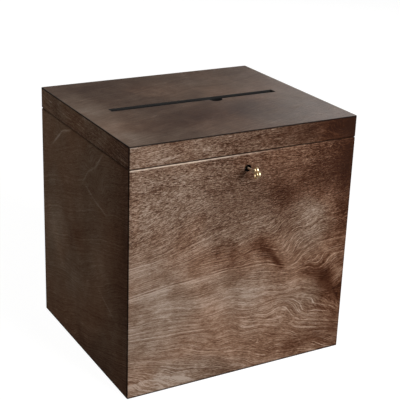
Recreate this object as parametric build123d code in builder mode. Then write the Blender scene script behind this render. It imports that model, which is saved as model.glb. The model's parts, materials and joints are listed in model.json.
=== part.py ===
from build123d import *
from math import cos, radians, sin, sqrt, tan
import os

# A stained plywood box for cards: four mitred walls and a floor, and a shallow hinged lid with a long
# slot. A small lock behind the front wall catches two hooks that hang from the lid.
# Frame: origin at the middle of the underside, +X to the right, +Y to the back, +Z up. The key is in front.
# All sizes are in millimetres.

os.makedirs("parts", exist_ok=True)

# Overall sizes of the shut box
box_width = 290.0
box_depth = 250.0
box_height = 300.0
lid_height = 25.7
seam_gap = 0.3

# Plywood
panel_thickness = 8.0
floor_thickness = 6.0
corner_round = 1.6
seam_round = 1.4
top_round = 0.7
base_round = 0.8

# Slot and finger notch in the lid
slot_length = 220.0
slot_width = 9.8
slot_centre_x = 1.5
slot_centre_y = 2.6
slot_corner_round = 1.0
notch_radius = 8.3
notch_x = 26.3

# Hinges
lid_swing = 105.0
hinge_from_side = 55.0
hinge_length = 32.0
hinge_axis_inset = 1.5
pin_radius = 0.8
knuckle_wall = 0.8
knuckle_count = 5
knuckle_gap = 0.2
leaf_thickness = 1.0
leaf_setback = 0.3
pin_fit = 0.02
pin_running_fit = 0.05
barrel_clearance = 0.35
pin_end = 0.3
hinge_screw_spacing = 21.0
hinge_screw_length = 10.0
bevel_depth = 2.1
stop_clearance = 0.15

# Countersunk screws of the hinges
sunk_head_edge = 0.4
sunk_shank_radius = 0.9
screw_fit = 0.02
driver_slot_width = 0.45
driver_slot_depth = 0.35

# Pan-head screws of the lock
pan_head_radius = 2.1
pan_head_height = 1.3
pan_head_round = 0.8
pan_shank_radius = 1.1
wood_left_ahead_of_screw = 3.5

# Key
key_drop = 17.4
shank_radius = 1.4
bit_reach = 3.5
bit_thickness = 1.5
bit_length = 4.0
bit_tip_setback = 0.2
collar_radius = 2.3
collar_length = 1.6
collar_from_front = 10.4
bow_thickness = 2.2
lobe_radius = 3.6
lobe_hole_radius = 2.1
lobe_rise = 3.3
lobe_from_front = 17.3
outer_lobe_from_front = 21.9
lobe_join_round = 0.6
bow_edge_round = 0.5
keyhole_clearance = 0.4

# Lock
plate_thickness = 1.2
case_wall = 1.0
lock_clearance = 0.3
cam_neck_wall = 1.1
cam_neck_fit = 0.06
cam_shoulder = 2.4
cam_disc_thickness = 4.0
cam_floor = 0.6
keyway_fit = 0.06
keyway_play = 0.2
bolt_travel = 5.0
crank_pin_radius = 0.9
crank_play = 0.3
bolt_thickness = 1.8
bolt_margin = 1.2
case_back_play = 0.5
flange_width = 6.5
case_corner_round = 1.6
lock_screw_rise = 6.5

# Hooks of the strike and fingers of the bolt
hook_left_x = -4.0
hook_apart = 2.8
hook_stem = 2.5
foot_height = 2.0
hook_thickness = 1.6
hook_bolt_setback = 0.2
foot_gap_below = 0.8
foot_gap_above = 0.6
finger_height = 2.2
finger_gap_rest = 0.7
finger_gap_stem = 0.5
riser_gap = 0.4
riser_width = 2.5
bolt_tail = 7.0
ceiling_gap = 0.8
hook_slot_side_play = 0.7
hook_slot_front_play = 0.8
strike_half_width = 22.0
strike_lift = 0.9
strike_leg_height = 12.0
strike_screw_x = 15.0
strike_screw_rise = 7.2
spare = 5.0

# Values that follow from the sizes above
body_height = box_height - lid_height - seam_gap
lid_bottom = body_height + seam_gap
front_y = -box_depth / 2
back_y = box_depth / 2
inner_width = box_width - 2 * panel_thickness
inner_depth = box_depth - 2 * panel_thickness
inner_front_y = front_y + panel_thickness
inner_back_y = back_y - panel_thickness
lid_ceiling = box_height - panel_thickness


# Outline of one wall between its two mitre planes, seen from above. The wall lies on the -Y side before
# the outline is turned about Z.
def wall_outline(half_length, half_other, turn):
    reach = 2 * panel_thickness
    with BuildSketch(Plane.XY.rotated((0, 0, turn))) as outline:
        with BuildLine():
            Polyline(
                (-half_length - spare, -half_other - spare),
                (half_length + spare, -half_other - spare),
                (half_length - reach, -half_other + reach),
                (-half_length + reach, -half_other + reach),
                close=True,
            )
        make_face()
    return outline.sketch


front_outline = wall_outline(box_width / 2, box_depth / 2, 0)
right_outline = wall_outline(box_depth / 2, box_width / 2, 90)
back_outline = wall_outline(box_width / 2, box_depth / 2, 180)
left_outline = wall_outline(box_depth / 2, box_width / 2, 270)

# Seam at the back: the two bevels leave room for the lid to lean back, and meet when it is fully open.
hinge_y = back_y - hinge_axis_inset
hinge_z = body_height + seam_gap / 2
bevel_height = hinge_axis_inset * tan(radians(lid_swing / 2)) + stop_clearance - seam_gap / 2
barrel_radius = pin_radius + knuckle_wall
barrel_room = barrel_radius + barrel_clearance
hinge_x = box_width / 2 - hinge_from_side
leaf_front_y = inner_back_y + leaf_setback
leaf_flat = hinge_y - barrel_room - leaf_front_y
hinge_screw_y = leaf_front_y + leaf_flat / 2
sunk_head_radius = leaf_flat / 2 - sunk_head_edge
hinge_screw_xs = [
    sign * hinge_x + step * hinge_screw_spacing / 2 for sign in (-1, 1) for step in (-1, 1)
]

# Lock levels, from the front of the box inwards and from the key's axis upwards
key_z = body_height - key_drop
keyhole_radius = bit_reach + keyhole_clearance
plate_back_y = inner_front_y + plate_thickness
cam_neck_radius = bit_reach + keyway_play + cam_neck_wall
cam_front_y = inner_front_y + lock_clearance
cam_disc_radius = cam_neck_radius + cam_shoulder
cam_disc_front_y = plate_back_y + lock_clearance
cam_back_y = cam_disc_front_y + cam_disc_thickness
bolt_front_y = cam_back_y + lock_clearance
bolt_back_y = bolt_front_y + bolt_thickness
case_inside_y = bolt_back_y + case_back_play
case_back_y = case_inside_y + case_wall
crank_radius = bolt_travel / sqrt(2)
crank_x = -crank_radius * sin(radians(45))
crank_z = key_z + crank_radius * cos(radians(45))
case_floor = key_z - cam_disc_radius - lock_clearance
bolt_bottom = case_floor + lock_clearance
crank_slot_bottom = crank_z - crank_pin_radius - crank_play
crank_slot_top = key_z + crank_radius + crank_pin_radius + crank_play
bolt_bar_top = crank_slot_top + bolt_margin
foot_bottom = bolt_bar_top + foot_gap_below
foot_top = foot_bottom + foot_height
finger_bottom = foot_top + foot_gap_above
finger_top = finger_bottom + finger_height
case_ceiling = finger_top + ceiling_gap
hook_foot = bolt_travel + finger_gap_stem - finger_gap_rest
finger_back = hook_foot + finger_gap_rest
riser_back = hook_foot + riser_gap + bolt_travel
hook_pitch = riser_back + riser_width + hook_stem + hook_apart
hook_xs = [hook_left_x, hook_left_x + hook_pitch]
bolt_left = hook_xs[0] - riser_back - riser_width
bolt_right = bolt_left + riser_width + hook_pitch + bolt_tail
case_half_width = hook_xs[1] + hook_stem + hook_slot_side_play + lock_clearance
case_outer_half_width = case_half_width + case_wall
flange_half_width = case_outer_half_width + flange_width
case_bottom = case_floor - case_wall
case_top = case_ceiling + case_wall
case_middle_z = (case_bottom + case_top) / 2
flange_back_y = plate_back_y + case_wall
lock_screw_x = case_outer_half_width + flange_width / 2
lock_screw_points = [
    (sign * lock_screw_x, case_middle_z + rise * lock_screw_rise) for sign in (-1, 1) for rise in (-1, 1)
]
screw_tip_y = front_y + wood_left_ahead_of_screw
strike_bottom = lid_bottom + strike_lift
strike_back_y = bolt_front_y + hook_bolt_setback + hook_thickness
strike_screw_points = [(sign * strike_screw_x, strike_bottom + strike_screw_rise) for sign in (-1, 1)]


# Walls of the body: one rounded frame, later parted at the mitres
with BuildPart() as body_walls:
    with BuildSketch(Plane.XY):
        RectangleRounded(box_width, box_depth, corner_round)
    extrude(amount=body_height)
    fillet(body_walls.faces().sort_by(Axis.Z)[-1].edges(), radius=seam_round)
    fillet(body_walls.faces().sort_by(Axis.Z)[0].edges(), radius=base_round)
    with BuildSketch(Plane.XY):
        Rectangle(inner_width, inner_depth)
    extrude(amount=body_height, mode=Mode.SUBTRACT)
    with BuildSketch(Plane.YZ):
        with BuildLine():
            Polyline(
                (back_y - bevel_depth, body_height),
                (back_y, body_height - bevel_height),
                (back_y + spare, body_height - bevel_height),
                (back_y + spare, body_height + spare),
                (back_y - bevel_depth, body_height + spare),
                close=True,
            )
        make_face()
    extrude(amount=box_width, both=True, mode=Mode.SUBTRACT)

# Front wall with the keyhole and the pilot holes of the lock screws
with BuildPart() as front_panel:
    add(body_walls.part)
    extrude(to_extrude=front_outline, amount=body_height, mode=Mode.INTERSECT)
    with BuildSketch(Plane.XZ.offset(-inner_front_y)):
        with Locations((0, key_z)):
            Circle(keyhole_radius)
    extrude(amount=panel_thickness, mode=Mode.SUBTRACT)
    with BuildSketch(Plane.XZ.offset(-inner_front_y)):
        with Locations(*lock_screw_points):
            Circle(pan_shank_radius + screw_fit)
    extrude(amount=inner_front_y - screw_tip_y, mode=Mode.SUBTRACT)
front_panel.part.label = "front_panel"
export_step(front_panel.part, "parts/front_panel.step")

with BuildPart() as left_panel:
    add(body_walls.part)
    extrude(to_extrude=left_outline, amount=body_height, mode=Mode.INTERSECT)
left_panel.part.label = "left_panel"
export_step(left_panel.part, "parts/left_panel.step")

with BuildPart() as right_panel:
    add(body_walls.part)
    extrude(to_extrude=right_outline, amount=body_height, mode=Mode.INTERSECT)
right_panel.part.label = "right_panel"
export_step(right_panel.part, "parts/right_panel.step")

# Room for one hinge in a seam face: a shallow bed for the leaf and a trough for the barrel
with BuildPart() as hinge_rooms:
    for side in (-1, 1):
        with BuildSketch(Plane.XY.offset(hinge_z)):
            with Locations((side * hinge_x, (leaf_front_y + hinge_y) / 2)):
                Rectangle(hinge_length, hinge_y - leaf_front_y)
        extrude(amount=seam_gap / 2 + leaf_thickness, both=True)
        with BuildSketch(Plane.YZ.offset(side * hinge_x)):
            with Locations((hinge_y, hinge_z)):
                Circle(barrel_room)
        extrude(amount=hinge_length / 2 + barrel_clearance, both=True)

with BuildPart() as back_panel:
    add(body_walls.part)
    extrude(to_extrude=back_outline, amount=body_height, mode=Mode.INTERSECT)
    add(hinge_rooms.part, mode=Mode.SUBTRACT)
    with BuildSketch(Plane.XY.offset(body_height)):
        with Locations(*[(x, hinge_screw_y) for x in hinge_screw_xs]):
            Circle(sunk_shank_radius + screw_fit)
    extrude(amount=-hinge_screw_length, mode=Mode.SUBTRACT)
back_panel.part.label = "back_panel"
export_step(back_panel.part, "parts/back_panel.step")

with BuildPart() as bottom_panel:
    with BuildSketch(Plane.XY):
        Rectangle(inner_width, inner_depth)
    extrude(amount=floor_thickness)
bottom_panel.part.label = "bottom_panel"
export_step(bottom_panel.part, "parts/bottom_panel.step")

# Shell of the lid, later parted into the top and its four rails
with BuildPart() as lid_shell:
    with BuildSketch(Plane.XY.offset(lid_bottom)):
        RectangleRounded(box_width, box_depth, corner_round)
    extrude(amount=lid_height)
    fillet(lid_shell.faces().sort_by(Axis.Z)[-1].edges(), radius=top_round)
    fillet(lid_shell.faces().sort_by(Axis.Z)[0].edges(), radius=seam_round)
    with BuildSketch(Plane.XY.offset(lid_bottom)):
        Rectangle(inner_width, inner_depth)
    extrude(amount=lid_height - panel_thickness, mode=Mode.SUBTRACT)
    with BuildSketch(Plane.YZ):
        with BuildLine():
            Polyline(
                (back_y - bevel_depth, lid_bottom),
                (back_y, lid_bottom + bevel_height),
                (back_y + spare, lid_bottom + bevel_height),
                (back_y + spare, lid_bottom - spare),
                (back_y - bevel_depth, lid_bottom - spare),
                close=True,
            )
        make_face()
    extrude(amount=box_width, both=True, mode=Mode.SUBTRACT)

# The top is mitred all round, so it widens upwards at 45 degrees from the inside of the rails
with BuildPart() as top_mitre:
    with BuildSketch(Plane.XY.offset(lid_ceiling)):
        Rectangle(inner_width, inner_depth)
    extrude(amount=panel_thickness + spare, taper=-45)

with BuildPart() as lid_top_panel:
    add(lid_shell.part)
    add(top_mitre.part, mode=Mode.INTERSECT)
    with BuildSketch(Plane.XY.offset(box_height)):
        with Locations((slot_centre_x, slot_centre_y)):
            RectangleRounded(slot_length, slot_width, slot_corner_round)
        with Locations((notch_x, slot_centre_y - slot_width / 2)):
            Circle(notch_radius)
    extrude(amount=-panel_thickness, mode=Mode.SUBTRACT)
lid_top_panel.part.label = "lid_top_panel"
export_step(lid_top_panel.part, "parts/lid_top_panel.step")

with BuildPart() as lid_front_rail:
    add(lid_shell.part)
    extrude(to_extrude=front_outline, amount=box_height, mode=Mode.INTERSECT)
    add(top_mitre.part, mode=Mode.SUBTRACT)
    with BuildSketch(Plane.XZ.offset(-inner_front_y)):
        with Locations(*strike_screw_points):
            Circle(pan_shank_radius + screw_fit)
    extrude(amount=inner_front_y - screw_tip_y, mode=Mode.SUBTRACT)
lid_front_rail.part.label = "lid_front_rail"
export_step(lid_front_rail.part, "parts/lid_front_rail.step")

with BuildPart() as lid_left_rail:
    add(lid_shell.part)
    extrude(to_extrude=left_outline, amount=box_height, mode=Mode.INTERSECT)
    add(top_mitre.part, mode=Mode.SUBTRACT)
lid_left_rail.part.label = "lid_left_rail"
export_step(lid_left_rail.part, "parts/lid_left_rail.step")

with BuildPart() as lid_right_rail:
    add(lid_shell.part)
    extrude(to_extrude=right_outline, amount=box_height, mode=Mode.INTERSECT)
    add(top_mitre.part, mode=Mode.SUBTRACT)
lid_right_rail.part.label = "lid_right_rail"
export_step(lid_right_rail.part, "parts/lid_right_rail.step")

with BuildPart() as lid_back_rail:
    add(lid_shell.part)
    extrude(to_extrude=back_outline, amount=box_height, mode=Mode.INTERSECT)
    add(top_mitre.part, mode=Mode.SUBTRACT)
    add(hinge_rooms.part, mode=Mode.SUBTRACT)
    with BuildSketch(Plane.XY.offset(lid_bottom)):
        with Locations(*[(x, hinge_screw_y) for x in hinge_screw_xs]):
            Circle(sunk_shank_radius + screw_fit)
    extrude(amount=hinge_screw_length, mode=Mode.SUBTRACT)
lid_back_rail.part.label = "lid_back_rail"
export_step(lid_back_rail.part, "parts/lid_back_rail.step")

# Hinge leaves. The knuckles take turns along the pin: the body's leaf has the odd ones, the lid's the even.
knuckle_pitch = hinge_length / knuckle_count
sink_depth = sunk_head_radius - sunk_shank_radius


def hinge_leaf(centre_x, own_first, plate_low, sink_face, sink_side, bore_fit):
    own = [n for n in range(knuckle_count) if n % 2 == own_first]
    other = [n for n in range(knuckle_count) if n % 2 != own_first]
    left_end = centre_x - hinge_length / 2
    with BuildPart() as leaf:
        with BuildSketch(Plane.XY.offset(plate_low)):
            with Locations((centre_x, (leaf_front_y + hinge_y) / 2)):
                Rectangle(hinge_length, hinge_y - leaf_front_y)
        extrude(amount=leaf_thickness)
        for n in other:
            with BuildSketch(Plane.YZ.offset(left_end + n * knuckle_pitch - knuckle_gap / 2)):
                with Locations((hinge_y, hinge_z)):
                    Circle(barrel_room)
            extrude(amount=knuckle_pitch + knuckle_gap, mode=Mode.SUBTRACT)
        for n in own:
            with BuildSketch(Plane.YZ.offset(left_end + n * knuckle_pitch + knuckle_gap / 2)):
                with Locations((hinge_y, hinge_z)):
                    Circle(barrel_radius)
            extrude(amount=knuckle_pitch - knuckle_gap)
        with BuildSketch(Plane.YZ.offset(left_end - spare)):
            with Locations((hinge_y, hinge_z)):
                Circle(pin_radius + bore_fit)
        extrude(amount=hinge_length + 2 * spare, mode=Mode.SUBTRACT)
        for step in (-1, 1):
            hole_x = centre_x + step * hinge_screw_spacing / 2
            with BuildSketch(Plane.XY.offset(sink_face)):
                with Locations((hole_x, hinge_screw_y)):
                    Circle(sunk_head_radius + screw_fit)
            extrude(amount=sink_side * sink_depth, taper=45, mode=Mode.SUBTRACT)
            with BuildSketch(Plane.XY.offset(sink_face)):
                with Locations((hole_x, hinge_screw_y)):
                    Circle(sunk_shank_radius + screw_fit)
            extrude(amount=sink_side * leaf_thickness, mode=Mode.SUBTRACT)
    return leaf


# Pin of one hinge, a plain rod that stands a little out of the barrel at both ends
def hinge_pin(centre_x):
    with BuildPart() as pin:
        with BuildSketch(Plane.YZ.offset(centre_x)):
            with Locations((hinge_y, hinge_z)):
                Circle(pin_radius)
        extrude(amount=hinge_length / 2 + pin_end, both=True)
        chamfer(pin.edges().filter_by(GeomType.CIRCLE), length=pin_end / 2)
    return pin


for side, centre_x in (("left", -hinge_x), ("right", hinge_x)):
    body_leaf = hinge_leaf(centre_x, 0, body_height - leaf_thickness, body_height, -1, pin_fit)
    body_leaf.part.label = side + "_hinge_body_leaf"
    export_step(body_leaf.part, "parts/" + side + "_hinge_body_leaf.step")
    lid_leaf = hinge_leaf(centre_x, 1, lid_bottom, lid_bottom, 1, pin_running_fit)
    lid_leaf.part.label = side + "_hinge_lid_leaf"
    export_step(lid_leaf.part, "parts/" + side + "_hinge_lid_leaf.step")
    pin = hinge_pin(centre_x)
    pin.part.label = side + "_hinge_pin"
    export_step(pin.part, "parts/" + side + "_hinge_pin.step")


# Countersunk screws, seen in section: head cone, shank and point. The side is -1 for a screw that goes down.
def sunk_screws(face_z, side):
    with BuildPart() as screws:
        for x in hinge_screw_xs:
            with BuildSketch(Plane.XZ.offset(-hinge_screw_y)):
                with BuildLine():
                    Polyline(
                        (x, face_z),
                        (x + sunk_head_radius, face_z),
                        (x + sunk_shank_radius, face_z + side * sink_depth),
                        (x + sunk_shank_radius, face_z + side * (hinge_screw_length - 2 * sunk_shank_radius)),
                        (x, face_z + side * hinge_screw_length),
                        close=True,
                    )
                make_face()
            revolve(axis=Axis((x, hinge_screw_y, 0), (0, 0, 1)))
            with BuildSketch(Plane.XY.offset(face_z)):
                with Locations((x, hinge_screw_y)):
                    Rectangle(2 * sunk_head_radius, driver_slot_width)
            extrude(amount=side * driver_slot_depth, mode=Mode.SUBTRACT)
    return screws


hinge_body_screws = sunk_screws(body_height, -1)
hinge_body_screws.part.label = "hinge_body_screws"
export_step(hinge_body_screws.part, "parts/hinge_body_screws.step")
hinge_lid_screws = sunk_screws(lid_bottom, 1)
hinge_lid_screws.part.label = "hinge_lid_screws"
export_step(hinge_lid_screws.part, "parts/hinge_lid_screws.step")


# Pan-head screws driven towards the front: rounded head, shank and point, with a driver slot in the head
def pan_screws(points, seat_y):
    head_y = seat_y + pan_head_height
    with BuildPart() as screws:
        for x, z in points:
            with BuildSketch(Plane.XY.offset(z)):
                with BuildLine():
                    Polyline(
                        (x, head_y),
                        (x, screw_tip_y),
                        (x + pan_shank_radius, screw_tip_y + pan_shank_radius),
                        (x + pan_shank_radius, seat_y),
                        (x + pan_head_radius, seat_y),
                        (x + pan_head_radius, head_y),
                        close=True,
                    )
                make_face()
            revolve(axis=Axis((x, 0, z), (0, 1, 0)))
        fillet(screws.faces().filter_by(Axis.Y).group_by(Axis.Y)[-1].edges(), radius=pan_head_round)
        with BuildSketch(Plane.XZ.offset(-head_y)):
            with Locations(*points):
                Rectangle(2 * pan_head_radius, driver_slot_width)
        extrude(amount=driver_slot_depth, mode=Mode.SUBTRACT)
    return screws


lock_screws = pan_screws(lock_screw_points, flange_back_y)
lock_screws.part.label = "lock_screws"
export_step(lock_screws.part, "parts/lock_screws.step")
strike_screws = pan_screws(strike_screw_points, plate_back_y)
strike_screws.part.label = "strike_screws"
export_step(strike_screws.part, "parts/strike_screws.step")

# Base plate of the lock, flat against the inside of the front wall. The cam's neck turns in its bore.
with BuildPart() as lock_plate:
    with BuildSketch(Plane.XZ.offset(-plate_back_y)):
        with Locations((0, case_middle_z)):
            RectangleRounded(2 * flange_half_width, case_top - case_bottom, case_corner_round)
        with Locations((0, key_z)):
            Circle(cam_neck_radius + cam_neck_fit, mode=Mode.SUBTRACT)
        with Locations(*lock_screw_points):
            Circle(pan_shank_radius + screw_fit, mode=Mode.SUBTRACT)
    extrude(amount=plate_thickness)
lock_plate.part.label = "lock_plate"
export_step(lock_plate.part, "parts/lock_plate.step")

# Pressed cup over the works, with a flange at each side and two slots on top for the hooks
with BuildPart() as lock_case:
    with BuildSketch(Plane.XZ.offset(-flange_back_y)):
        with Locations((0, case_middle_z)):
            RectangleRounded(2 * flange_half_width, case_top - case_bottom, case_corner_round)
        with Locations(*lock_screw_points):
            Circle(pan_shank_radius + screw_fit, mode=Mode.SUBTRACT)
    extrude(amount=case_wall)
    with BuildSketch(Plane.XZ.offset(-case_back_y)):
        with Locations((0, case_middle_z)):
            RectangleRounded(2 * case_outer_half_width, case_top - case_bottom, case_corner_round)
    extrude(amount=case_back_y - plate_back_y)
    fillet(lock_case.faces().sort_by(Axis.Y)[-1].edges(), radius=case_wall / 2)
    with BuildSketch(Plane.XZ.offset(-case_inside_y)):
        with Locations((0, (case_floor + case_ceiling) / 2)):
            Rectangle(2 * case_half_width, case_ceiling - case_floor)
    extrude(amount=case_inside_y - plate_back_y, mode=Mode.SUBTRACT)
    for hook_x in hook_xs:
        slot_low_x = hook_x - hook_foot - hook_slot_side_play
        slot_high_x = hook_x + hook_stem + hook_slot_side_play
        slot_low_y = bolt_front_y + hook_bolt_setback - hook_slot_front_play
        with BuildSketch(Plane.XY.offset(case_ceiling)):
            with Locations(((slot_low_x + slot_high_x) / 2, (slot_low_y + case_inside_y) / 2)):
                Rectangle(slot_high_x - slot_low_x, case_inside_y - slot_low_y)
        extrude(amount=case_wall, mode=Mode.SUBTRACT)
lock_case.part.label = "lock_case"
export_step(lock_case.part, "parts/lock_case.step")

# Cam: a neck in the base plate, a thicker disc behind it, the keyway with its blind end, and the crank pin
with BuildPart() as lock_cam:
    with BuildSketch(Plane.XZ.offset(-cam_disc_front_y)):
        with Locations((0, key_z)):
            Circle(cam_neck_radius)
    extrude(amount=cam_disc_front_y - cam_front_y)
    with BuildSketch(Plane.XZ.offset(-cam_back_y)):
        with Locations((0, key_z)):
            Circle(cam_disc_radius)
    extrude(amount=cam_disc_thickness)
    with BuildSketch(Plane.XZ.offset(-bolt_back_y)):
        with Locations((crank_x, crank_z)):
            Circle(crank_pin_radius)
    extrude(amount=bolt_back_y - cam_back_y)
    with BuildSketch(Plane.XZ.offset(-(cam_back_y - cam_floor))):
        with Locations((0, key_z)):
            Circle(shank_radius + keyway_fit)
        with Locations((0, key_z - (bit_reach + keyway_play) / 2)):
            Rectangle(bit_thickness + 2 * keyway_play, bit_reach + keyway_play)
    extrude(amount=cam_back_y - cam_floor - cam_front_y, mode=Mode.SUBTRACT)
lock_cam.part.label = "lock_cam"
export_step(lock_cam.part, "parts/lock_cam.step")

# Bolt: a flat bar with an upright slot for the crank pin, and a riser with a finger for each hook
with BuildPart() as lock_bolt:
    with BuildSketch(Plane.XZ.offset(-bolt_back_y)):
        with Locations(((bolt_left + bolt_right) / 2, (bolt_bottom + bolt_bar_top) / 2)):
            Rectangle(bolt_right - bolt_left, bolt_bar_top - bolt_bottom)
        for hook_x in hook_xs:
            riser_right = hook_x - riser_back
            finger_tip = hook_x - finger_back
            with Locations((riser_right - riser_width / 2, (bolt_bar_top + finger_top) / 2)):
                Rectangle(riser_width, finger_top - bolt_bar_top)
            with Locations(((riser_right + finger_tip) / 2, (finger_bottom + finger_top) / 2)):
                Rectangle(finger_tip - riser_right, finger_height)
        with Locations((crank_x, (crank_slot_bottom + crank_slot_top) / 2)):
            Rectangle(
                2 * (crank_pin_radius + crank_play), crank_slot_top - crank_slot_bottom, mode=Mode.SUBTRACT
            )
    extrude(amount=bolt_thickness)
lock_bolt.part.label = "lock_bolt"
export_step(lock_bolt.part, "parts/lock_bolt.step")

# Strike: an angle screwed to the inside of the lid's front rail, with two hooks that hang into the lock
with BuildPart() as strike_plate:
    with BuildSketch(Plane.YZ):
        with BuildLine():
            Polyline(
                (inner_front_y, strike_bottom),
                (strike_back_y, strike_bottom),
                (strike_back_y, strike_bottom + plate_thickness),
                (plate_back_y, strike_bottom + plate_thickness),
                (plate_back_y, strike_bottom + strike_leg_height),
                (inner_front_y, strike_bottom + strike_leg_height),
                close=True,
            )
        make_face()
    extrude(amount=strike_half_width, both=True)
    with BuildSketch(Plane.XZ.offset(-strike_back_y)):
        for hook_x in hook_xs:
            with Locations((hook_x + hook_stem / 2, (foot_bottom + strike_bottom) / 2)):
                Rectangle(hook_stem, strike_bottom - foot_bottom)
            with Locations((hook_x - hook_foot / 2, foot_bottom + foot_height / 2)):
                Rectangle(hook_foot, foot_height)
    extrude(amount=hook_thickness)
    with BuildSketch(Plane.XZ.offset(-plate_back_y)):
        with Locations(*strike_screw_points):
            Circle(pan_shank_radius + screw_fit)
    extrude(amount=plate_thickness, mode=Mode.SUBTRACT)
strike_plate.part.label = "strike_plate"
export_step(strike_plate.part, "parts/strike_plate.step")

# Key: round shank with a collar, a flat bit below its tip, and a pierced bow of three lobes
key_tip_y = cam_back_y - cam_floor - lock_clearance
bit_back_y = key_tip_y - bit_tip_setback
lobe_points = [
    (front_y - lobe_from_front, key_z + lobe_rise),
    (front_y - lobe_from_front, key_z - lobe_rise),
    (front_y - outer_lobe_from_front, key_z),
]
with BuildPart() as key:
    with BuildSketch(Plane.YZ) as bow:
        with Locations(*lobe_points):
            Circle(lobe_radius)
        fillet(bow.vertices(), radius=lobe_join_round)
        with Locations(*lobe_points):
            Circle(lobe_hole_radius, mode=Mode.SUBTRACT)
    extrude(amount=bow_thickness / 2, both=True)
    fillet(key.faces().filter_by(Axis.X).edges(), radius=bow_edge_round)
    with BuildSketch(Plane.XZ.offset(-key_tip_y)):
        with Locations((0, key_z)):
            Circle(shank_radius)
    extrude(amount=key_tip_y - (front_y - lobe_from_front + lobe_hole_radius / 2))
    with BuildSketch(Plane.XZ.offset(-(front_y - collar_from_front))):
        with Locations((0, key_z)):
            Circle(collar_radius)
    extrude(amount=collar_length)
    with BuildSketch(Plane.XZ.offset(-bit_back_y)):
        with Locations((0, key_z - bit_reach / 2)):
            Rectangle(bit_thickness, bit_reach)
    extrude(amount=bit_length)
key.part.label = "key"
export_step(key.part, "parts/key.step")
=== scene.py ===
"""Looks of the envelope box: brown-stained birch plywood, brass furniture and a small cast brass key."""
import json
import math

import bmesh
import bpy
import numpy as np
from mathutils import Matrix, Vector


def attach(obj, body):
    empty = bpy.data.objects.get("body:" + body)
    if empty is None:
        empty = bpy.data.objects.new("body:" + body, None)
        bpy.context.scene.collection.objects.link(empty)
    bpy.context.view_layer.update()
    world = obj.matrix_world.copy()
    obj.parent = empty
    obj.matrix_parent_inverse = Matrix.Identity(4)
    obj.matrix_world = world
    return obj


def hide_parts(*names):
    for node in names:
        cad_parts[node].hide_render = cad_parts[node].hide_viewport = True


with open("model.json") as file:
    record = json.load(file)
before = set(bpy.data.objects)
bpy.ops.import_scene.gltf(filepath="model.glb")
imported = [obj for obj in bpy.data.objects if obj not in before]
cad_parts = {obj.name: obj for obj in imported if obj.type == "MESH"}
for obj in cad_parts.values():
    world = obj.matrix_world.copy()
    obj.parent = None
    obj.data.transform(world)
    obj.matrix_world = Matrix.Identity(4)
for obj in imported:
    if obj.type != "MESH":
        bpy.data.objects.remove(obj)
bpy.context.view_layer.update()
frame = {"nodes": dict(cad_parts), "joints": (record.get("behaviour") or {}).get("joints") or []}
scene = bpy.context.scene

MM = 0.001


def srgb(*levels):
    """A colour given as 0 to 255 levels, turned into the linear numbers that the shader takes."""
    share = np.array(levels, float) / 255
    linear = np.where(share <= 0.04045, share / 12.92, ((share + 0.055) / 1.055) ** 2.4)
    return (*linear.tolist(), 1.0)


class Wire:
    """One output of a material's nodes.

    A sum, a product or a power of wires and numbers adds its Math node, and node() adds any other node."""

    def __init__(self, tree, socket=None):
        self.tree, self.socket = tree, socket

    def node(self, kind, settings=(), inputs=(), output=0):
        """Adds a node and gives its named output, or a list of them.

        The settings come first, and then a number or a wire for each input."""
        made = self.tree.nodes.new(kind)
        for setting, value in dict(settings).items():
            if setting == "stops":
                ramp = made.color_ramp.elements
                for place, _ in value[1:-1]:
                    ramp.new(place)
                for stop, (place, colour) in zip(ramp, value):
                    stop.position, stop.color = place, colour
            else:
                setattr(made, setting, value)
        for key, value in dict(inputs).items():
            if isinstance(value, Wire):
                self.tree.links.new(value.socket, made.inputs[key])
            else:
                made.inputs[key].default_value = value
        if isinstance(output, tuple):
            return [Wire(self.tree, made.outputs[name]) for name in output]
        return None if output is None else Wire(self.tree, made.outputs[output])

    def math(self, operation, *others):
        return self.node("ShaderNodeMath", {"operation": operation}, enumerate((self, *others)))

    def __add__(self, other):
        return self.math("ADD", other)

    __radd__ = __add__

    def __mul__(self, other):
        return self.math("MULTIPLY", other)

    __rmul__ = __mul__

    def __sub__(self, other):
        return self.math("SUBTRACT", other)

    def __rsub__(self, other):
        return self.node("ShaderNodeMath", {"operation": "SUBTRACT"}, {0: other, 1: self})

    def __truediv__(self, other):
        return self.math("DIVIDE", other)

    def __rpow__(self, base):
        return self.node("ShaderNodeMath", {"operation": "POWER"}, {0: base, 1: self})

    def __abs__(self):
        return self.math("ABSOLUTE")

    def dot(self, *other):
        """The dot product with a fixed vector."""
        return self.node("ShaderNodeVectorMath", {"operation": "DOT_PRODUCT"}, {0: self, 1: other}, "Value")

    def rise(self, low, high):
        """0 below low and 1 above high, with a smooth step between them."""
        return self.node(
            "ShaderNodeMapRange",
            {"interpolation_type": "SMOOTHSTEP"},
            {"Value": self, "From Min": low, "From Max": high},
        )

    def fall(self, low, high):
        """1 below low and 0 above high, with a smooth step between them."""
        return 1 - self.rise(low, high)


def point(x, y, z=0.0):
    """Three wires or numbers as one vector; at least one is a wire."""
    wire = next(w for w in (x, y, z) if isinstance(w, Wire))
    return wire.node("ShaderNodeCombineXYZ", (), {0: x, 1: y, 2: z})


def radius_at(x, y):
    """How far the place x, y is from where both are 0."""
    flat = point(x, y)
    return flat.node("ShaderNodeVectorMath", {"operation": "LENGTH"}, {0: flat}, "Value")


def cloud(where, scale, detail=2.0, roughness=0.5, seed=0.0):
    """Cloudy noise about zero at a point: mostly within 0.25 either way."""
    noise = where.node(
        "ShaderNodeTexNoise",
        {"noise_dimensions": "4D"},
        {"Vector": where, "W": seed, "Scale": scale, "Detail": detail, "Roughness": roughness},
    )
    return noise - 0.5


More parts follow.
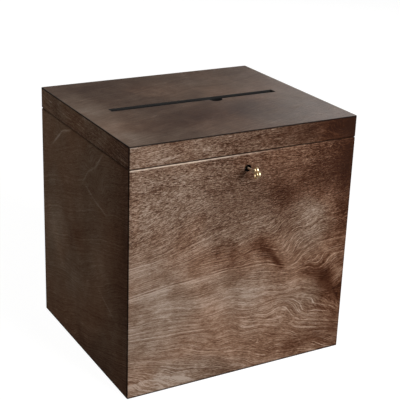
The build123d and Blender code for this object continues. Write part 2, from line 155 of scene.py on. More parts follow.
def bands(height, scale, detail=2.0, roughness=0.5):
    """Noise that depends on one number only, so that it is the same all along one growth line."""
    noise = height.node(
        "ShaderNodeTexNoise",
        {"noise_dimensions": "1D"},
        {"W": height, "Scale": scale, "Detail": detail, "Roughness": roughness},
    )
    return noise - 0.5


def hump(spot, along, across, length, width, turn):
    """e to the minus (a squared plus b squared).

    a and b are the distances from the hump's middle, along a line turned by turn degrees and across it, in
    half lengths and half widths. A spot is the place along and across the grain with a 1 behind it, so each
    distance is one dot product."""
    cos, sin = math.cos(math.radians(turn)), math.sin(math.radians(turn))
    a = spot.dot(cos / length, sin / length, -(along * cos + across * sin) / length)
    b = spot.dot(-sin / width, cos / width, (along * sin - across * cos) / width)
    return (1 / math.e) ** b.math("MULTIPLY_ADD", b, a * a)


def with_humps(wire, spot, rows):
    """A wire plus some humps. Each row holds a hump's place, half sizes and turn, and then its height."""
    for *place_and_size, height in rows:
        wire = wire + hump(spot, *place_and_size) * height
    return wire


def blend(share, first, second):
    """One colour turning into another as share goes from 0 to 1."""
    return share.node("ShaderNodeMix", {"data_type": "RGBA"}, {0: share, 6: first, 7: second}, 2)


def tinted(colour, tint):
    """A colour times a tint."""
    settings = {"data_type": "RGBA", "blend_type": "MULTIPLY"}
    return colour.node("ShaderNodeMix", settings, {0: 1.0, 6: colour, 7: tint}, 2)


def finish_with(name, build):
    """A material by that name.

    build() gets the place on the piece in millimetres and gives colour, roughness, metallic and the height
    of its relief."""
    material = bpy.data.materials.new(name)
    material.use_nodes = True
    material.node_tree.nodes.clear()
    start = Wire(material.node_tree)
    place = start.node("ShaderNodeTexCoord", output="Object")
    place = start.node("ShaderNodeVectorMath", {"operation": "SCALE"}, {0: place, "Scale": 1 / MM})
    made = build(place)
    bump = start.node(
        "ShaderNodeBump",
        (),
        {"Height": made["relief"], "Distance": made["relief_depth"] * MM, "Strength": 1.0},
    )
    shader = start.node(
        "ShaderNodeBsdfPrincipled",
        (),
        {
            "Base Color": made["colour"],
            "Roughness": made["roughness"],
            "Metallic": made["metallic"],
            "Normal": bump,
            "Specular IOR Level": made.get("gloss", 0.5),
        },
    )
    start.node("ShaderNodeOutputMaterial", (), {"Surface": shader}, None)
    return material


def places(name):
    """The points of a CAD node's mesh, to a thousandth of a millimetre, a row for each."""
    return (np.array([corner.co for corner in frame["nodes"][name].data.vertices]) / MM).round(3)


def axis_height(joint_name):
    """How high a joint's axis lies, in millimetres."""
    return next(round(joint["pos_m"][2] / MM, 3) for joint in frame["joints"] if joint["name"] == joint_name)


# The box in millimetres: its outer faces, its walls, the seam under the lid, the keyhole and the key's tip
front_points, top_points = places("front_panel"), places("lid_top_panel")
HALF_WIDTH = -places("left_panel")[:, 0].min()
HALF_DEPTH = -front_points[:, 1].min()
HEIGHT = top_points[:, 2].max()
WALL = front_points[:, 1].max() + HALF_DEPTH
SEAM, KEY_Z = axis_height("lid_hinge"), axis_height("cam_turn")
KEYHOLE = np.hypot(front_points[:, 0], front_points[:, 2] - KEY_Z).min().round(2)
KEY_TIP = places("key")[:, 1].max()

# The slot in the lid and the half-round notch in its front edge: the points far from the lid's outer edges
inside = (abs(top_points[:, 0]) < HALF_WIDTH - 3 * WALL) & (abs(top_points[:, 1]) < HALF_DEPTH / 3)
rim = top_points[inside]
slot_left, slot_right, slot_back = rim[:, 0].min(), rim[:, 0].max(), rim[:, 1].max()
slot_front = rim[rim[:, 0] < 0, 1].min()
lip = rim[(abs(rim[:, 1] - slot_front) < 0.01) & (abs(rim[:, 0]) < slot_right / 2), 0]
SLOT_MIDDLE = (slot_left + slot_right) / 2, (slot_front + slot_back) / 2
SLOT_HALF = (slot_right - slot_left) / 2, (slot_back - slot_front) / 2
NOTCH_MIDDLE = (lip.min() + lip.max()) / 2, slot_front
NOTCH_RADIUS = (lip.max() - lip.min()) / 2

# One ply of a panel, in millimetres
PLY = 1.14

# How each panel lies: the place along its grain, across it and in from its outer face
LAY = {
    "front": lambda x, y, z: (x, z, y + HALF_DEPTH),
    "back": lambda x, y, z: (x, z, HALF_DEPTH - y),
    "left": lambda x, y, z: (y, z, x + HALF_WIDTH),
    "right": lambda x, y, z: (y, z, HALF_WIDTH - x),
    "top": lambda x, y, z: (x, y, HEIGHT - z),
    "bottom": lambda x, y, z: (x, y, z),
}

# The stain from its darkest to its lightest
STAIN = [
    (0.0, srgb(40, 20, 10)),
    (0.12, srgb(52, 28, 15)),
    (0.27, srgb(70, 43, 29)),
    (0.43, srgb(90, 64, 49)),
    (0.6, srgb(110, 85, 69)),
    (0.77, srgb(130, 106, 90)),
    (0.93, srgb(148, 125, 110)),
    (1.0, srgb(160, 139, 125)),
]

# The tints of cooler and warmer stain, the plies, the near-black of the cut walls (their char and painted
# shade), the dark edges with the painted shade along the seam, and the painted highlight on the front's round
# rim
COOL, WARM = (0.965, 1.025, 1.045, 1), (1.035, 0.965, 0.9, 1)
PLY_DARK, PLY_LIGHT, CHAR_AND_SHADE_BLACK = srgb(24, 14, 9), srgb(62, 42, 29), srgb(5, 3, 2)
EDGE_STAIN_AND_SEAM_SHADE, PAINTED_RIM_HIGHLIGHT = srgb(20, 10, 6), srgb(212, 192, 174)

# A patch that darkens the stain by more than this is a knot, where the grain fades
KNOT = -0.26

# The short marks of the grain: how much the place along the grain counts (the less it does, the longer the
# mark is), how fine the mark is, which lines it follows, and how far its noise lies from the figure's seed
MARKS = {
    "dash": (0.25, 1.1, "flow", 0),
    "nick": (0.2, 1.5, "flow", 2),
    "streak": (0.12, 0.9, "height", 4),
    "fibre": (0.06, 1.6, "height", 0),
}

# How strongly each mark shows in smooth grain, and how much stronger it gets as the grain gets coarse
STRENGTH = {
    "broad": (0.25, 0),
    "fine": (0.62, -1),
    "dash": (0, 1.8),
    "nick": (0.8, 2.8),
    "streak": (0.8, -0.6),
    "fibre": (0.5, 0),
    "speckle": (0, 2.4),
    "thread": (0.62, -1),
}

# A figure says how one panel's grain looks. The growth lines have a slope. Each lean changes that slope from
# one place across the grain to another, about a pivot along it. Swirls push the lines round knots, and rings
# do so for the thin threads only, which calm spots make faint. Patches make a panel darker or lighter: most
# are stain, and on the top some are painted shadow and painted sheen. Discs are patches with a crisp rim, and
# reds are warmer or cooler stain. A swirl, ring, calm spot, patch, disc or red is its place along and across
# the grain, half length, half width, turn in degrees and amount. Base is how light the stain is on the scale
# of
# STAIN, speckle how coarse the grain is, curls how far the threads curl, contrast, clouds and threads how
# strongly the marks, the cloudy stain and the threads show, and gloss and smooth how shiny the panel is. The
# seed picks the panel's noise.
PLAIN = dict(
    leans=[], swirls=[], rings=[], calm=[], patches=[], discs=[], reds=[],
    curls=10, contrast=1.0, clouds=1.0, threads=1.0, gloss=0.06, smooth=0.0,
)
FIGURES = {
    "front": dict(
        seed=1.0, slope=-0.3, base=0.57, speckle=0.5, curls=30,
        leans=[(20, 120, 0.3, 60), (90, 190, 0.32, 80), (180, 264, -0.34, -90)],
        swirls=[
            (52, 150, 34, 20, -50, 11), (118, 101, 32, 23, -48, 10), (150, 50, 75, 20, 4, 13),
            (56, 96, 14, 10, 0, 6), (8, 56, 22, 11, 10, 7), (90, 168, 14, 9, 0, 6),
            (152, 170, 46, 26, 0, 12), (-55, 45, 34, 12, -12, 8), (-20, 152, 30, 16, 20, 8),
            (-95, -8, 70, 24, 0, 8), (62, 70, 26, 14, -30, -8),
        ],
        rings=[
            (57, 140, 34, 17, -55, 14), (112, 104, 30, 22, -48, 6), (90, 60, 26, 12, 30, 6),
            (20, 30, 26, 10, -20, 7),
        ],
        calm=[(106, 150, 44, 15, 28, 0.8), (10, 134, 44, 7, 6, 0.5)],
        patches=[
            (17, 160, 14, 10, -35, -0.16), (28, 151, 13, 8, -60, -0.25), (42, 140, 14, 4.5, -54, -0.3),
            (53, 127, 10, 2.5, -48, -0.22), (36, 146, 26, 12, -50, -0.06), (113, 99, 30, 15, -48, -0.32),
            (118, 104, 9, 9, 0, -0.22), (133, 80, 14, 9, 0, -0.1), (92, 122, 22, 14, -30, -0.15),
            (108, 60, 20, 12, 0, -0.11), (134, 96, 10, 16, 0, 0.1), (35, 205, 18, 14, 0, -0.11),
            (100, 268, 26, 8, 0, -0.09), (-18, 152, 20, 13, -20, -0.14), (58, 205, 30, 14, -55, -0.17),
            (50, 222, 20, 14, 0, -0.1), (105, 235, 50, 26, 5, -0.2), (135, 188, 15, 30, 0, -0.26),
            (150, 262, 42, 60, 0, -0.36), (80, 270, 90, 60, 0, -0.14), (160, 120, 32, 150, 0, -0.24),
            (-60, 130, 60, 30, 0, 0.06), (10, 90, 80, 24, 0, 0.08), (92, 184, 26, 20, 10, 0.14),
            (-45, 101, 70, 10, 2, 0.12), (-90, 24, 70, 24, 0, 0.14), (-110, 118, 30, 30, 0, 0.1),
            (-130, 190, 50, 110, 0, 0.05), (-120, 64, 34, 26, 0, 0.1), (-125, 270, 50, 20, 0, 0.05),
            (5, 235, 80, 34, 0, -0.13), (10, 60, 90, 30, -8, 0.05), (90, 20, 70, 22, 0, -0.16),
            (126, 140, 24, 24, 0, -0.07), (-125, 222, 26, 22, 0, 0.06), (-30, 176, 130, 24, 0, -0.1),
            (-72, 226, 22, 18, 0, 0.07), (24, 222, 24, 22, 0, -0.06), (76, 126, 26, 20, 0, -0.07),
            (-24, 124, 26, 18, 0, -0.05), (30, 74, 30, 18, 0, -0.05), (78, 22, 30, 20, 0, -0.07),
        ],
        discs=[(-115, -89, 108, 108, 0, 0.26), (-115, -89, 104.5, 104.5, 0, -0.12)],
        reds=[
            (110, 250, 60, 60, 0, 0.2), (140, 110, 30, 120, 0, 0.2), (35, 148, 24, 12, -52, 0.2),
            (-20, 152, 26, 16, 0, 0.15), (-50, 40, 46, 14, -6, 0.2), (40, 85, 14, 20, 0, 0.12),
            (0, 215, 70, 40, 0, -0.16), (90, 184, 24, 22, 0, -0.3), (-120, 110, 40, 30, 0, -0.2),
            (-100, 240, 40, 26, 0, -0.03), (0, 102, 60, 10, 0, -0.02), (-138, 215, 8, 30, 0, 0.15),
            (23, 190, 44, 26, 0, -0.2), (120, 170, 26, 22, 0, -0.16), (72, 212, 24, 18, 0, -0.1),
            (-122, 200, 26, 26, 0, 0.12),
        ],
    ),
    "lid_front": dict(
        seed=31.0, slope=0.05, base=0.53, speckle=0.42,
        swirls=[(125, 284, 20, 12, 10, 14)],
        patches=[
            (150, 288, 34, 30, 0, -0.68), (80, 290, 60, 20, 0, -0.28), (-120, 285, 50, 20, 0, 0.12),
            (106, 288, 18, 16, 0, -0.15), (20, 287, 60, 14, 0, -0.09),
        ],
        reds=[(18, 287, 64, 40, 0, -0.3)],
    ),
    "left": dict(
        seed=13.0, slope=-0.3, base=0.6, speckle=0.25, contrast=0.45, gloss=0.02, clouds=0.6, threads=0.5,
        swirls=[(-38, 238, 40, 12, 40, 14), (60, 262, 50, 12, -35, 10), (-10, 100, 50, 26, -20, 16)],
        patches=[
            (85, 130, 36, 40, 0, 0.2), (-48, 140, 18, 20, 0, 0.1), (25, 87, 24, 12, 0, 0.08),
            (18, 147, 30, 10, -30, -0.14), (-45, 63, 34, 14, -20, -0.1), (0, 6, 160, 30, 0, -0.16),
            (-125, 170, 44, 160, 0, -0.26), (110, 250, 50, 60, 0, 0.03), (73, 252, 18, 1.3, -38, 0.46),
            (45, 268, 13, 1.3, -19, 0.4), (-48, 260, 13, 1.4, -46, 0.3), (-28, 244, 11, 1.3, -31, 0.28),
            (-10, 229, 12, 1.4, -48, 0.22), (-21, 215, 14, 1.4, 20, 0.2), (-52, 206, 17, 1.4, 12, 0.22),
            (-70, 92, 22, 1.2, 24, 0.2),
        ],
    ),
    "right": dict(
        seed=17.0, slope=-0.04, base=0.56, speckle=0.45,
        leans=[(60, 230, 0.24, 70)],
        swirls=[(-30, 90, 34, 18, 40, 24), (60, 200, 40, 20, -10, 14)],
        patches=[(-30, 92, 26, 9, 40, -0.25), (50, 60, 60, 30, 0, 0.1)],
    ),
    "back": dict(
        seed=11.0, slope=0.1, base=0.57, speckle=0.5,
        leans=[(50, 250, -0.26, -80)],
        swirls=[(-60, 190, 40, 22, 20, 24), (70, 60, 60, 16, -6, 18)],
        patches=[(-60, 190, 26, 10, 20, -0.28), (40, 90, 60, 40, 0, 0.08)],
    ),
    "top": dict(
        seed=19.0, slope=0.3, base=0.6, speckle=0.15, contrast=0.45, gloss=0.3, clouds=1.4, threads=0.3,
        smooth=0.12,
        swirls=[(90, 60, 60, 24, 30, 14)],
        patches=[
            # on the top, the dark patch at the middle of the front is a painted shadow, and the light ones at
            # the right and left ends are painted sheen
            (0, -55, 90, 34, 8, -0.24), (-70, 100, 70, 40, 20, -0.2), (125, -60, 60, 120, 0, 0.04),
            (-140, -30, 30, 140, 0, 0.24),
        ],
        reds=[(-80, 105, 50, 30, 0, -0.4)],
    ),
    "bottom": dict(seed=23.0, slope=0.1, base=0.55, speckle=0.5, swirls=[(-50, 30, 50, 24, 10, 20)]),
}
for side, seed in (("left", 37.0), ("right", 41.0), ("back", 43.0)):
    FIGURES[f"lid_{side}"] = dict(
        seed=seed, slope=0.05, base=0.56, speckle=0.3, contrast=0.7, gloss=0.03, clouds=0.7,
        patches=[(60, 290, 60, 30, 0, -0.04), (-125, 290, 44, 60, 0, -0.26)],
    )


def growth(along, across, spot, figure):
    """The lines of the grain, as three heights whose level lines they are.

    Growth lines are level lines of height, short marks follow its smoother part, flow, and the thin pale
    threads follow rings, which close round the knots and curl in the lower half of a wall."""
    seed = figure["seed"]
    flow = across - along * figure["slope"]
    for low, high, change, pivot in figure["leans"]:
        flow = flow - (along - pivot) * across.rise(low, high) * change
    flow = with_humps(flow, spot, figure["swirls"])
    drift = point(along * 0.55, across)
    wave = cloud(drift, 0.02, 2, 0.45, seed) * 10
    flow = flow + wave
    height = flow + wave * 1.2 + cloud(drift, 0.09, 2, 0.5, seed + 1) * 2.5 + seed * 100
    curl = cloud(point(along * 0.8, across), 0.021, 1.5, 0.45, seed + 10)
    rings = with_humps(height + curl * across.fall(100, 200) * figure["curls"], spot, figure["rings"])
    return {"flow": flow, "height": height, "rings": rings}


def grain_marks(along, across, spot, coarse, figure):
    """Every kind of mark in the grain by its name, and all of them added up, each as strong as it shows."""
    seed, sheet = figure["seed"], point(along, across)
    lines = growth(along, across, spot, figure)
    rings = lines["rings"]
    marks = {"broad": bands(rings, 0.06, 3, 0.6), "fine": bands(rings, 0.34, 3, 0.6)}
    for name, (keep, scale, follows, shift) in MARKS.items():
        marks[name] = cloud(point(along * keep, lines[follows]), scale, 2, 0.6, seed + shift)
    marks["speckle"] = cloud(sheet, 1.3, 2, 0.7, seed + 3)

    # threads lie where a zigzag of the rings comes near zero, and show only here and there
    thread = (rings + marks["broad"] * 20).math("PINGPONG", 2.4).fall(0.1, 0.75)
    hair = (rings + marks["broad"] * 34).math("PINGPONG", 1.15).fall(0.1, 0.6)
    thread = thread * cloud(sheet, 0.04, 3, 0.6, seed + 5).rise(-0.14, 0.1)
    thread = thread + hair * cloud(sheet, 0.05, 3, 0.6, seed + 6).rise(-0.08, 0.16) * 0.6
    for *place_and_size, share in figure["calm"]:
        thread = thread * (1 - hump(spot, *place_and_size) * share)
    marks["thread"] = thread

    shown = {name: coarse * change + plain if change else plain for name, (plain, change) in STRENGTH.items()}
    shown["thread"] = shown["thread"] * figure["threads"]
    return marks, sum(marks[name] * strength for name, strength in shown.items())


def stain_depth(spot, nothing, figure):
    """How much lighter the patches and discs make a panel (on the top partly painted shadow and sheen), and
    how far a place lies inside a knot.
    """
    stain = knots = nothing
    for *place_and_size, change in figure["patches"]:
        dab = hump(spot, *place_and_size)
        stain = stain + dab * change
        if change < KNOT:
            knots = knots + dab
    for *place_and_size, change in figure["discs"]:
        stain = stain + hump(spot, *place_and_size).rise(0.36, 0.37) * change
    return stain, knots


def outer_edge(x, y, z, side):
    """1 along the box's outer edges, where the middle one of the distances to three outer faces is small.

    Each distance is scaled first, and one that is scaled less gives a wider edge."""
    narrow, wide = 1.6, 0.5
    to_side = (HALF_WIDTH - abs(x)) * narrow
    to_end = (HALF_DEPTH - abs(y)) * (wide if side in ("left", "right") else narrow)
    to_cap = (z * 0.6).math("MINIMUM", (HEIGHT - z) * 0.75)
    middle = to_side.math("MAXIMUM", to_end).math("MINIMUM", to_cap)
    return middle.math("MAXIMUM", to_side.math("MINIMUM", to_end)).fall(0.4, 1.7)


def char_and_shade_walls(x, y, z, name):
    """1 on the laser-cut walls of the slot with its notch, or of the keyhole, and a hair round them: their
    near-black is partly char and partly painted shade inside the slot and the hole.
    """
    if name == "top":
        gap = (abs(x - SLOT_MIDDLE[0]) - SLOT_HALF[0]).math("MAXIMUM", abs(y - SLOT_MIDDLE[1]) - SLOT_HALF[1])
        notch = radius_at(x - NOTCH_MIDDLE[0], y - NOTCH_MIDDLE[1]) - NOTCH_RADIUS
        return gap.math("MINIMUM", notch).fall(0.1, 0.9)
    return (radius_at(x, z - KEY_Z) - KEYHOLE).fall(0.0, 0.5) if name == "front" else x * 0


def stained_birch(name, figure):
    """Peeled birch under brown stain, on the panel or rail at the side of the box that its name ends with."""
    side = name.split("_")[-1]

    def build(place):
        x, y, z = place.node("ShaderNodeSeparateXYZ", (), {0: place}, ("X", "Y", "Z"))
        along, across, depth = LAY[side](x, y, z)
        seed = figure["seed"]
        sheet, spot, nothing = point(along, across), point(along, across, 1.0), x * 0

        # the grain is coarser in the upper part of a wall, and marks fade inside knots
        coarse = (across.rise(120, 230) * 0.75 + 0.25) * figure["speckle"]
        marks, grains = grain_marks(along, across, spot, coarse, figure)
        stain, knots = stain_depth(spot, nothing, figure)
        light = cloud(sheet, 0.009, 3, 0.5, seed + 9) * 0.4 + cloud(sheet, 0.05, 2, 0.5, seed + 8) * 0.3
        light = light * figure["clouds"]
        light = light + grains * (1 - knots.rise(0.2, 1.0) * 0.5) * figure["contrast"]
        light = light + figure["base"] + stain

        colour = light.node("ShaderNodeValToRGB", {"stops": STAIN}, {0: light})
        warm = with_humps(nothing, spot, figure["reds"]) + cloud(sheet, 0.011, 2, 0.5, seed + 12)
        warm = (warm - stain * 0.25).rise(-0.16, 0.16)
        colour = blend(warm, tinted(colour, COOL), tinted(colour, WARM))

        # along the seam the lid's lower edge and the gap below it are darkened as painted shade, and below
        # that the front's round rim carries a painted highlight, strongest at the left and fading to the
        # right
        edge = outer_edge(x, y, z, side)
        if name.startswith("lid"):
            share = 0.75 + 0.25 * along.rise(-90, 10) if side == "front" else 0.8
            # painted shade on the lid's lower edge, just above the seam
            edge = edge.math("MAXIMUM", (z - SEAM).fall(0.5, 1.7) * share)
        elif side == "front":
            below = SEAM - z
            # painted highlight on the front's round top rim below the seam, strongest at the left
            rim_highlight = along.fall(-80, 60) * (cloud(sheet, 0.15, 2, 0.6, seed + 15) + 0.62)
            colour = blend(below.rise(0.25, 0.65) * below.fall(1.2, 2.3) * rim_highlight, colour, PAINTED_RIM_HIGHLIGHT)
            # painted shade in the seam gap at the top of the front wall
            edge = edge.math("MAXIMUM", below.fall(0.2, 0.6) * 0.8)
        elif side != "top":
            # painted shade, fainter, just below the seam on the other walls
            edge = edge.math("MAXIMUM", (SEAM - z).fall(0.9, 2.0) * 0.4)
        colour = blend(edge, colour, EDGE_STAIN_AND_SEAM_SHADE)

        # plies show on cut edges, below the face veneer and above the inner one
        ply = (depth / PLY).math("PINGPONG", 1.0)
        layers = blend((ply + marks["fibre"] * 0.5).rise(0.3, 0.7), PLY_DARK, PLY_LIGHT)
        cut = depth.rise(0.9, 1.1) * depth.fall(WALL - 0.4, WALL - 0.2) if side != "bottom" else nothing
        # painted near-black on the cut walls of the slot and keyhole: partly the laser's char, partly painted
        # shade inside them
        char_and_shade_share = char_and_shade_walls(x, y, z, name)
        colour = blend(char_and_shade_share, blend(cut, colour, layers), CHAR_AND_SHADE_BLACK)

        relief = (marks["dash"] + marks["speckle"]) * coarse * 1.2 + marks["streak"] * 0.6
        relief = relief + marks["fibre"] * 0.3 + marks["thread"] * 0.4 + marks["fine"] * 0.2
        return {
            "colour": colour,
            "roughness": marks["dash"] * 0.2 + char_and_shade_share * 0.3 + (0.5 - figure["smooth"]),
            "metallic": 0.0,
            "gloss": figure["gloss"],
            "relief": relief,
            "relief_depth": 0.3,
        }

    return finish_with(f"stained_birch_{name}", build)


def bright_brass(place):
    """Cast and turned brass, polished, with a little tarnish and fine scratches."""
    tarnish = cloud(place, 0.6, 3, 0.6, 2.0)
    scratch = cloud(place, 9.0, 2, 0.6, 4.0)
    return {
        "colour": blend(tarnish.rise(-0.15, 0.2), srgb(226, 196, 146), srgb(248, 232, 196)),
        "roughness": tarnish * 0.25 + scratch * 0.1 + 0.33,
        "metallic": 1.0,
        "relief": scratch,
        "relief_depth": 0.01,
    }


def cast_brass(place):
    """The key's brass: rougher than bright_brass, with a dull, worn shank and painted shade where the shank
    lies inside the hole.
    """
    y = place.node("ShaderNodeSeparateXYZ", (), {0: place}, ("X", "Y"))[1]
    made = bright_brass(place)
    shank = (y - (KEY_TIP - BOW_START)).rise(-0.5, 0.5)
    made["colour"] = blend(shank, made["colour"], srgb(255, 226, 194))
    # painted shade: the shank is darkened where it lies inside the keyhole
    made["colour"] = blend((y + HALF_DEPTH).rise(-1.5, 0), made["colour"], srgb(60, 46, 30))
    made["roughness"] = made["roughness"] + 0.14
    made["metallic"] = 1 - shank * 0.6
    return made


def zinc_steel(place):
    """Zinc-plated steel of the lock's moving parts."""
    spangle = cloud(place, 0.5, 3, 0.6, 3.0)
    scratch = cloud(place, 6.0, 2, 0.6, 5.0)
    return {
        "colour": blend(spangle.rise(-0.2, 0.2), srgb(150, 150, 146), srgb(186, 186, 180)),
        "roughness": spangle * 0.2 + scratch * 0.1 + 0.36,
        "metallic": 1.0,
        "relief": scratch,
        "relief_depth": 0.01,
    }


# The key in millimetres, as distances from its tip: its turned shank with a collar, as distance and radius,
# where its bow starts, the three rings of the bow, as distance and height over the axis, the bar that joins
# them, and the bit
SHANK = [
    (0.02, 0.0), (0.04, 0.8), (0.2, 1.2), (0.5, 1.38), (21.6, 1.38), (22.0, 1.7), (22.5, 1.85), (22.8, 1.6),
    (23.1, 1.9), (23.4, 2.25), (24.1, 2.25), (24.5, 1.9), (24.8, 1.5), (25.6, 1.3), (26.6, 1.35),
    (28.2, 1.2), (29.2, 0.0),
]
BOW_START = 26.2
RINGS = [(29.9, 3.3), (29.9, -3.3), (34.5, 0.0)]
RING_RADIUS, RING_RIM, RING_THICK, RING_SQUARENESS = 2.82, 0.78, 1.06, 0.6
BAR_PLACE, BAR_HALF, BAR_SQUARENESS = 27.5, (0.7, 0.6, 3.2), 0.6
BIT_PLACE, BIT_DROP, BIT_HALF, BIT_SQUARENESS = 2.2, 1.95, (0.75, 2.0, 1.55), 0.2
VOXEL = 0.16

birch = {name: stained_birch(name, PLAIN | figure) for name, figure in FIGURES.items()}
brass = finish_with("bright_brass", bright_brass)
key_brass = finish_with("key_brass", cast_brass)
steel = finish_with("zinc_steel", zinc_steel)

STEEL_NODES = ("lock_cam", "lock_bolt")
for name, node in frame["nodes"].items():
    wood = name.replace("_panel", "").replace("_rail", "").replace("lid_top", "top")
    node.data.materials.clear()
    node.data.materials.append(birch[wood] if wood in birch else steel if name in STEEL_NODES else brass)


def shell(*grids):
    """One mesh of several closed shells.

    Each grid holds rows of points in millimetres. Its rows close on themselves, and its first and last row
    are either poles or, with ring set, neighbours."""
    points, faces, start = [], [], 0
    for grid, ring in grids:
        rows, columns = grid.shape[:2]
        index = start + np.arange(rows * columns).reshape(rows, columns)
        nearer = index if ring else index[:-1]
        further = np.roll(index, -1, 0) if ring else index[1:]
        sides = [nearer, np.roll(nearer, -1, 1), np.roll(further, -1, 1), further]
        faces += np.stack(sides, -1).reshape(-1, 4).tolist()
        points.append(grid.reshape(-1, 3) * MM)
        start += rows * columns
    mesh = bpy.data.meshes.new("shell")
    mesh.from_pydata(np.concatenate(points).tolist(), [], faces)
    work = bmesh.new()
    work.from_mesh(mesh)
    bmesh.ops.remove_doubles(work, verts=work.verts, dist=1e-7)
    bmesh.ops.recalc_face_normals(work, faces=work.faces)
    work.to_mesh(mesh)
    work.free()
    return mesh


TURN = np.linspace(0, 2 * np.pi, 48, endpoint=False)


def turned(profile):
    """A part turned round the key's axis: at each distance from the key's tip, a circle of that radius."""
    distance, radius = np.array(profile).T[:, :, None]
    y = KEY_TIP - distance
    return np.stack([radius * np.cos(TURN), y + 0 * TURN, KEY_Z + radius * np.sin(TURN)], -1), False


def soft(wave, squareness):
    """A sine or cosine raised to a power below 1 with its sign kept: two of them draw a rounded square."""
    return np.sign(wave) * np.abs(wave) ** squareness


def lobe(distance, z):
    """A ring of the bow: a circle round its middle that carries a rounded square section."""
    way, section = TURN[:, None], TURN[None, :]
    radius = RING_RADIUS + RING_RIM * soft(np.cos(section), RING_SQUARENESS)
    across = RING_THICK * soft(np.sin(section), RING_SQUARENESS) + 0 * way
    y = KEY_TIP - distance
    return np.stack([across, y + radius * np.cos(way), KEY_Z + z + radius * np.sin(way)], -1), True


def block(distance, z, half, squareness):
    """A box with soft corners: sines and cosines of two angles, raised to a power with their signs kept."""
    lift = np.linspace(-np.pi / 2, np.pi / 2, 33)[:, None]
    ring = TURN[None, :]
    flank = soft(np.cos(lift), squareness)
    unit = [
        flank * soft(np.cos(ring), squareness),
        flank * soft(np.sin(ring), squareness),
        soft(np.sin(lift), squareness) + 0 * ring,
    ]
    return np.stack(unit, -1) * half + (0, KEY_TIP - distance, KEY_Z + z), False


def cast_key():
    """The small key as one casting, grown together by a voxel remesh and then smoothed."""
    mesh = shell(
        turned(SHANK),
        *(lobe(*ring) for ring in RINGS),
        block(BAR_PLACE, 0, BAR_HALF, BAR_SQUARENESS),
        block(BIT_PLACE, -BIT_DROP, BIT_HALF, BIT_SQUARENESS),
    )
    rough = bpy.data.objects.new("rough_key", mesh)
    scene.collection.objects.link(rough)
    grow = rough.modifiers.new("grow", "REMESH")
    grow.mode, grow.voxel_size, grow.use_smooth_shade = "VOXEL", VOXEL * MM, True
    ease = rough.modifiers.new("ease", "SMOOTH")
    ease.factor, ease.iterations = 0.5, 5
    made = bpy.data.meshes.new_from_object(rough.evaluated_get(bpy.context.evaluated_depsgraph_get()))
    bpy.data.objects.remove(rough)
    made.materials.clear()
    made.materials.append(key_brass)
    key = bpy.data.objects.new("cabinet_key", made)
    scene.collection.objects.link(key)
    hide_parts("key")
    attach(key, "key")


cast_key()


def soft_box(name, place, aim, size, power):
    """A square soft light of that size in metres, at a place and turned towards a point."""
    lamp = bpy.data.lights.new(name, "AREA")
    lamp.size, lamp.energy = size, power
    light = bpy.data.objects.new(name, lamp)
    light.location = place
    light.rotation_euler = (Vector(aim) - Vector(place)).to_track_quat("-Z", "Y").to_euler()
    scene.collection.objects.link(light)
    return light


# Soft lights: the main one stands in front, and the others fill in from the left and from behind
CENTRE = (0, 0, HEIGHT / 2 * MM)
soft_box("main_light", (0.8, -2.2, 1.1), CENTRE, 1.2, 86)
left_fill = soft_box("left_fill", (-2.0, 1.1, 0.9), CENTRE, 1.5, 17.5)
left_fill.data.color = (1.0, 0.965, 0.88)
soft_box("back_card", (1.55, 1.45, 0.82), (0.1, 0, 0.3), 0.8, 3.0)
# this one shows only in reflections, most of all in the key's
key_card = soft_box("key_card", (-1.5, 0.2, 0.4), (0, -0.14, 0.25), 0.9, 9)
key_card.visible_diffuse = False
soft_box("back_fill", (-0.6, 2.0, 1.0), CENTRE, 1.4, 1.2)
soft_box("low_back_fill", (0, 2.4, 0.15), CENTRE, 0.27, 16)

# The room gives a faint light of its own, which shows only in reflections
world = bpy.data.worlds.new("room")
scene.world = world
world.use_nodes = True
world.node_tree.nodes["Background"].inputs["Color"].default_value = (1, 1, 1, 1)
world.node_tree.nodes["Background"].inputs["Strength"].default_value = 0.16
world.cycles_visibility.diffuse = False


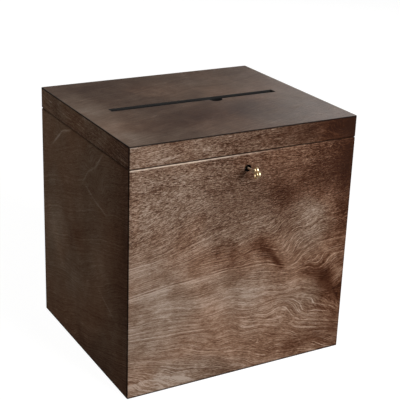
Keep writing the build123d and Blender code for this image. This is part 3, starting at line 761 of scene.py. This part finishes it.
def glowing(name, glow, paint):
    """A pale surface that glows by itself and takes a little light and shadow."""
    material = bpy.data.materials.new(name)
    material.use_nodes = True
    material.node_tree.nodes.clear()
    start = Wire(material.node_tree)
    light = start.node("ShaderNodeEmission", (), {"Color": (1, 1, 1, 1), "Strength": glow})
    matt = start.node("ShaderNodeBsdfDiffuse", (), {"Color": (paint, paint, paint, 1)})
    both = start.node("ShaderNodeAddShader", (), {0: light, 1: matt})
    start.node("ShaderNodeOutputMaterial", (), {"Surface": both}, None)
    return material


def studio(name, grid, material):
    """A stage surface from rows of points in metres, seen by the camera only."""
    rows, columns = grid.shape[:2]
    index = np.arange(rows * columns).reshape(rows, columns)
    faces = np.stack([index[:-1, :-1], index[:-1, 1:], index[1:, 1:], index[1:, :-1]], -1)
    mesh = bpy.data.meshes.new(name)
    mesh.from_pydata(grid.reshape(-1, 3).tolist(), [], faces.reshape(-1, 4).tolist())
    mesh.materials.append(material)
    piece = bpy.data.objects.new(name, mesh)
    scene.collection.objects.link(piece)
    piece.visible_diffuse = piece.visible_glossy = piece.visible_shadow = False


# The floor lies a hair below the box's underside, and the backdrop is a dome that ends below the floor
FLOOR_HALF, FLOOR_DROP, DOME_RADIUS, DOME_LOW = 9, 0.0004, 8.9, -0.1
across_floor = np.linspace(-FLOOR_HALF, FLOOR_HALF, 19)
flat_x, flat_y = np.meshgrid(across_floor, across_floor)
studio("floor", np.stack([flat_x, flat_y, 0 * flat_x - FLOOR_DROP], -1), glowing("pale_floor", 0.96, 0.16))
turn, lift = np.meshgrid(np.linspace(0, 2 * np.pi, 49), np.linspace(DOME_LOW, np.pi / 2, 17))
dome = DOME_RADIUS * np.stack([np.cos(turn) * np.cos(lift), np.sin(turn) * np.cos(lift), np.sin(lift)], -1)
studio("backdrop", dome, glowing("pale_backdrop", 0.97, 0.0))

# The camera stands where the box's corners in the photograph say: its place in metres, its turn in degrees
CAMERA_PLACE, CAMERA_TURN = (-0.59124, -1.05881, 0.64792), (68.653141, -1.876715, -28.925598)
FOCAL_LENGTH, SENSOR_WIDTH = 95.5, 36.0
scene.view_settings.view_transform = "Standard"
lens = bpy.data.cameras.new("camera")
lens.lens, lens.sensor_width = FOCAL_LENGTH, SENSOR_WIDTH
camera = bpy.data.objects.new("camera", lens)
scene.collection.objects.link(camera)
camera.location = CAMERA_PLACE
camera.rotation_euler = [math.radians(angle) for angle in CAMERA_TURN]
scene.camera = camera
